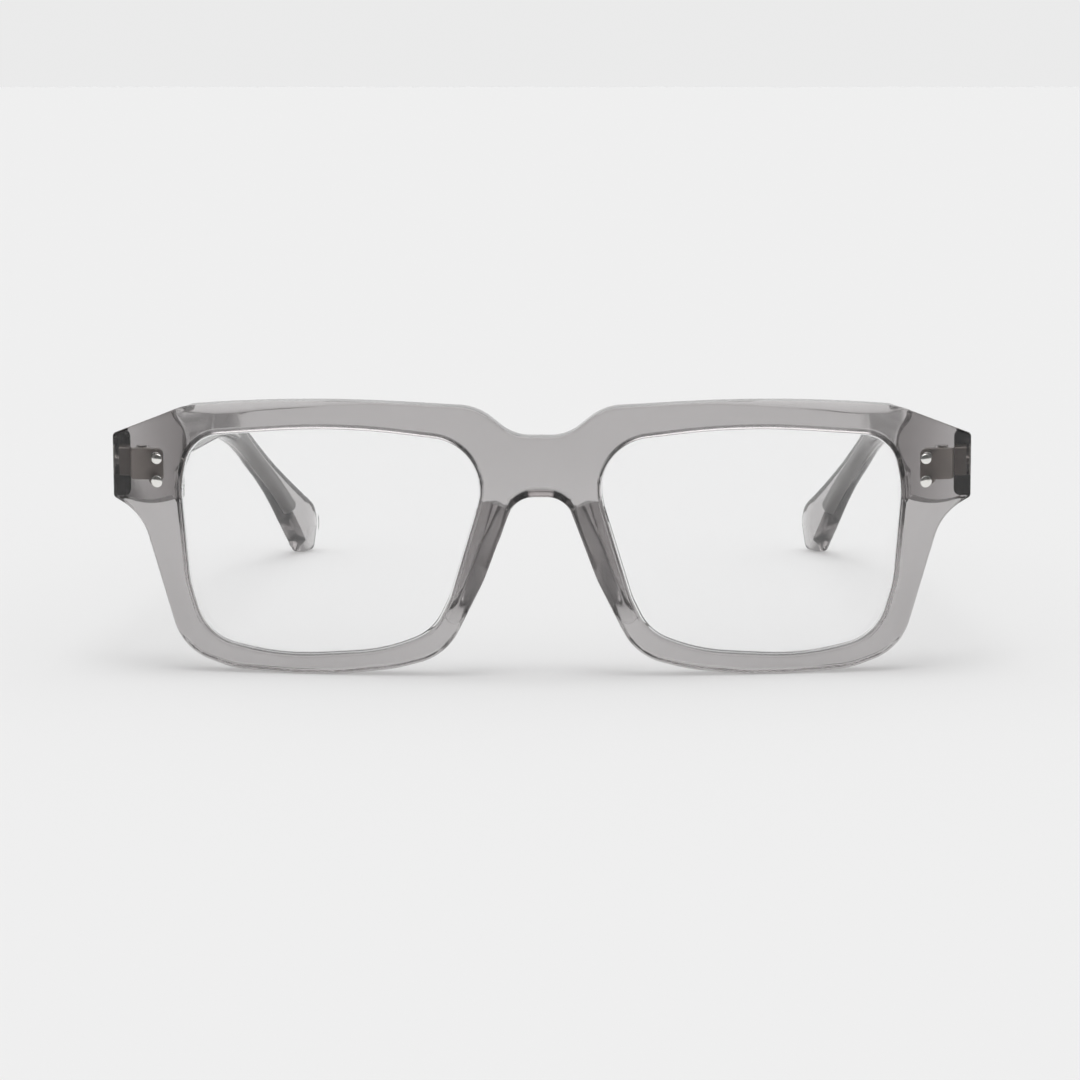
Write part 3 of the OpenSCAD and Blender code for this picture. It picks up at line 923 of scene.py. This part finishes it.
def turned(corners, centre_x, centre_y):
    """Adds a turned part: a closed profile of radius, height and fillet, spun round its axis."""
    trace([(centre_x + r, z, fillet) for r, z, fillet in corners], centre_y, arc_step=turn_arc)
    bpy.ops.mesh.select_linked()
    bpy.ops.mesh.spin(steps=turn_steps, angle=2 * math.pi, axis=(0, 0, 1),
                      center=(centre_x * mm, centre_y * mm, 0))
    bpy.ops.mesh.select_linked()
    bpy.ops.mesh.remove_doubles(threshold=turn_gap * mm)
    bpy.ops.mesh.delete_loose()


def knuckle_span(k):
    """The bottom and the top of a knuckle, counted from the lowest one."""
    low = barrel_bottom + k * knuckle_height + knuckle_gap / 2
    return low, low + knuckle_height - knuckle_gap


def add_knuckle(k):
    """Adds a knuckle, a short tube round the screw."""
    low, high = knuckle_span(k)
    turned([(knuckle_bore, low, bore_break), (knuckle_bore, high, bore_break),
            (knuckle_radius, high, rim_break), (knuckle_radius, low, rim_break)], pivot_x, pivot_y)


def finish_mesh(back_to_place=True):
    """Turns the faces outwards and moves the piece behind the front's origin."""
    face_outwards()
    if back_to_place:
        bpy.ops.transform.translate(value=(0, front_y, 0))
    bpy.ops.object.mode_set(mode="OBJECT")


front_hinge = start_piece("front_hinge_right_metal")
trace(leaf_corners, leaf_front, arc_step=plate_arc)
pull([(leaf_rear + leaf_proud, 0)], leaf_front)
close_faces(front_hinge, leaf_front, leaf_rear + leaf_proud)
neck_left = pivot_x - neck_width / 2
neck_right = pivot_x + neck_width / 2
for k in front_knuckles:
    low, high = knuckle_span(k)
    neck = [(neck_left, high, 0), (neck_right, high, 0), (neck_right, low, 0), (neck_left, low, 0)]
    add_block(neck, leaf_rear - neck_root, neck_length)
round_all(front_hinge, plate_break)
for k in front_knuckles:
    add_knuckle(k)
finish_mesh()
hand_in_pair(front_hinge, nickel, "front", "hinge_metal", "front_hinge_right")

# The hinge screws: steel screws with a slotted cheese head, put in from above through all
# five knuckles. Each is the axis on which its temple turns.
screw_radius = 0.6
screw_head_radius = 1.05
screw_head_height = 0.5
slot_width = 0.3
slot_depth = 0.25
slot_cut = 4
screw_end = barrel_bottom - 0.1
head_seat = 0.01

polished = metal("polished_fastener", (0.86, 0.85, 0.82), roughness=0.1, smear=0.1,
                 smear_scale=900, bump_scale=4000, bump_depth=0.000005)

screw = start_piece("hinge_screw_right_steel")
screw_top = barrel_bottom + barrel_height + screw_head_height
screw_neck = screw_top - screw_head_height + head_seat
turned([(0, screw_end, 0), (0, screw_top, 0), (screw_head_radius, screw_top, 0.12),
        (screw_head_radius, screw_neck, 0.05), (screw_radius, screw_neck, 0.05),
        (screw_radius, screw_end, 0.12)], pivot_x, pivot_y)
finish_mesh()
slot_place = (pivot_x * mm, pivot_y * mm + front_y, screw_top * mm)
bpy.ops.mesh.primitive_cube_add(size=mm, location=slot_place)
slot_cutter = bpy.context.active_object
bpy.ops.object.mode_set(mode="EDIT")
bpy.ops.transform.resize(value=(slot_cut, slot_width, 2 * slot_depth))
bpy.ops.object.mode_set(mode="OBJECT")
cut_out(screw, slot_cutter, "slot")
hand_in_pair(screw, polished, "front", "polished_fastener", "hinge_screw_right")

# The rivets of the front: polished pins whose domed heads lie on the facets. They are pressed
# through the acetate and peened over the back of the hinge plates.
rivet_x = 65.1
rivet_radius = 0.65
rivet_head_radius = 1
rivet_head_height = 1
rivet_proud = 0.15
rivet_seat = face_depth(crease_x) + (rivet_x - crease_x) * facet_rise
rivet_length = leaf_rear + rivet_proud - rivet_seat
# each rivet's height, how much its head is domed, and how far it is peened to lean back
front_rivets = (("upper", 36.05, 0.22, 0.12), ("lower", 32.05, 0.1, 0))


def start_pin(name, dome, length):
    """A new pin that stands upright on the origin: a domed head on a thinner shank."""
    pin = start_piece(name)
    turned([(0, rivet_proud, 0), (0.35 * rivet_head_radius, rivet_proud, 1.2),
            (rivet_head_radius, rivet_proud - dome, 0.1),
            (rivet_head_radius, -rivet_head_height, 0), (rivet_radius, -rivet_head_height, 0),
            (rivet_radius, -length, 0.3), (0, -length, 0)], 0, 0)
    finish_mesh(back_to_place=False)
    return pin


for which, rivet_z, dome, head_tilt in front_rivets:
    rivet = start_pin("front_rivet_" + which + "_right_pin", dome, rivet_length)
    for v in rivet.data.vertices:
        x, y, height = v.co / mm
        share = max(0, min(1, (height + rivet_length) / rivet_length))
        lean = share * (facet_rise * x + head_tilt * y)
        v.co = Vector((rivet_x + x, rivet_seat - height + lean, rivet_z + y)) * mm
        v.co.y += front_y
    hand_in_pair(rivet, polished, "front", "polished_fastener", "front_rivet_" + which + "_right")

# The temple hinges: nickel silver plates sunk in the inner face of the temples, with two
# knuckles that reach forward between those of the front hinge.
temple_leaf_y = 18.9
temple_leaf_length = 7.6
temple_leaf_depth = 2.2
temple_knuckles = (1, 3)
neck_overlap = 0.3
barrel_top = barrel_bottom + barrel_height
leaf_root = temple_x(temple_leaf_y, temple_thickness)

toe_turn = Matrix.Rotation(math.atan(toe_in), 3, "Z")
neck_inner = leaf_root + neck_overlap
neck_rear = temple_leaf_y + neck_width
# x and y of a neck, from the barrel to the plate and back
neck = [(pivot_x + 0.9, pivot_y - 0.8), (pivot_x + 1.4, pivot_y - 0.55),
        (neck_inner, temple_leaf_y), (neck_inner, neck_rear),
        (leaf_root - neck_overlap, neck_rear), (pivot_x + 0.7, pivot_y + 1.25)]

temple_hinge = start_piece("temple_hinge_right_metal")
trace([(0, barrel_top, 0.3), (temple_leaf_length, barrel_top, 0.9),
       (temple_leaf_length, barrel_bottom, 0.9), (0, barrel_bottom, 0.3)], 0, arc_step=plate_arc)
pull([(temple_leaf_depth + leaf_proud, 0)], 0)
close_faces(temple_hinge, 0, temple_leaf_depth + leaf_proud)
round_all(temple_hinge, plate_break)
mesh = bmesh.from_edit_mesh(temple_hinge.data)
for v in mesh.verts:
    place = toe_turn @ Vector((v.co.y - leaf_proud * mm, v.co.x, v.co.z))
    v.co = place + Vector((leaf_root, temple_leaf_y, 0)) * mm
bmesh.update_edit_mesh(temple_hinge.data)
for k in temple_knuckles:
    add_knuckle(k)
    low, high = knuckle_span(k)
    add_block([(x, y, 0) for x, y in neck], low, high - low)
    bpy.ops.mesh.select_linked()
    mesh = bmesh.from_edit_mesh(temple_hinge.data)
    for v in mesh.verts:
        if v.select:
            v.co = Vector((v.co.x, v.co.z, v.co.y))
    bmesh.update_edit_mesh(temple_hinge.data)
finish_mesh()
hand_in_pair(temple_hinge, nickel, "right_temple", "hinge_metal", "temple_hinge_right")

# The rivets of the temples: the same polished pins, two in a row on each side. They are
# pressed through from outside and peened over the hinge plate inside.
temple_rivet_z = barrel_bottom + barrel_height / 2
temple_rivet_dome = 0.12
temple_rivets = (("front", 20.6), ("rear", 24.6))

for which, rivet_y in temple_rivets:
    rivet = start_pin("temple_rivet_" + which + "_right_pin", temple_rivet_dome,
                      temple_thickness + rivet_proud)
    for v in rivet.data.vertices:
        along, up, height = v.co
        inwards = temple_thickness * mm + height
        backwards = (rivet_y - temple_leaf_y) * mm + along
        place = Vector((leaf_root * mm, temple_leaf_y * mm + front_y, temple_rivet_z * mm + up))
        v.co = toe_turn @ Vector((inwards, backwards, 0)) + place
    hand_in_pair(rivet, polished, "right_temple", "polished_fastener",
                 "temple_rivet_" + which + "_right")
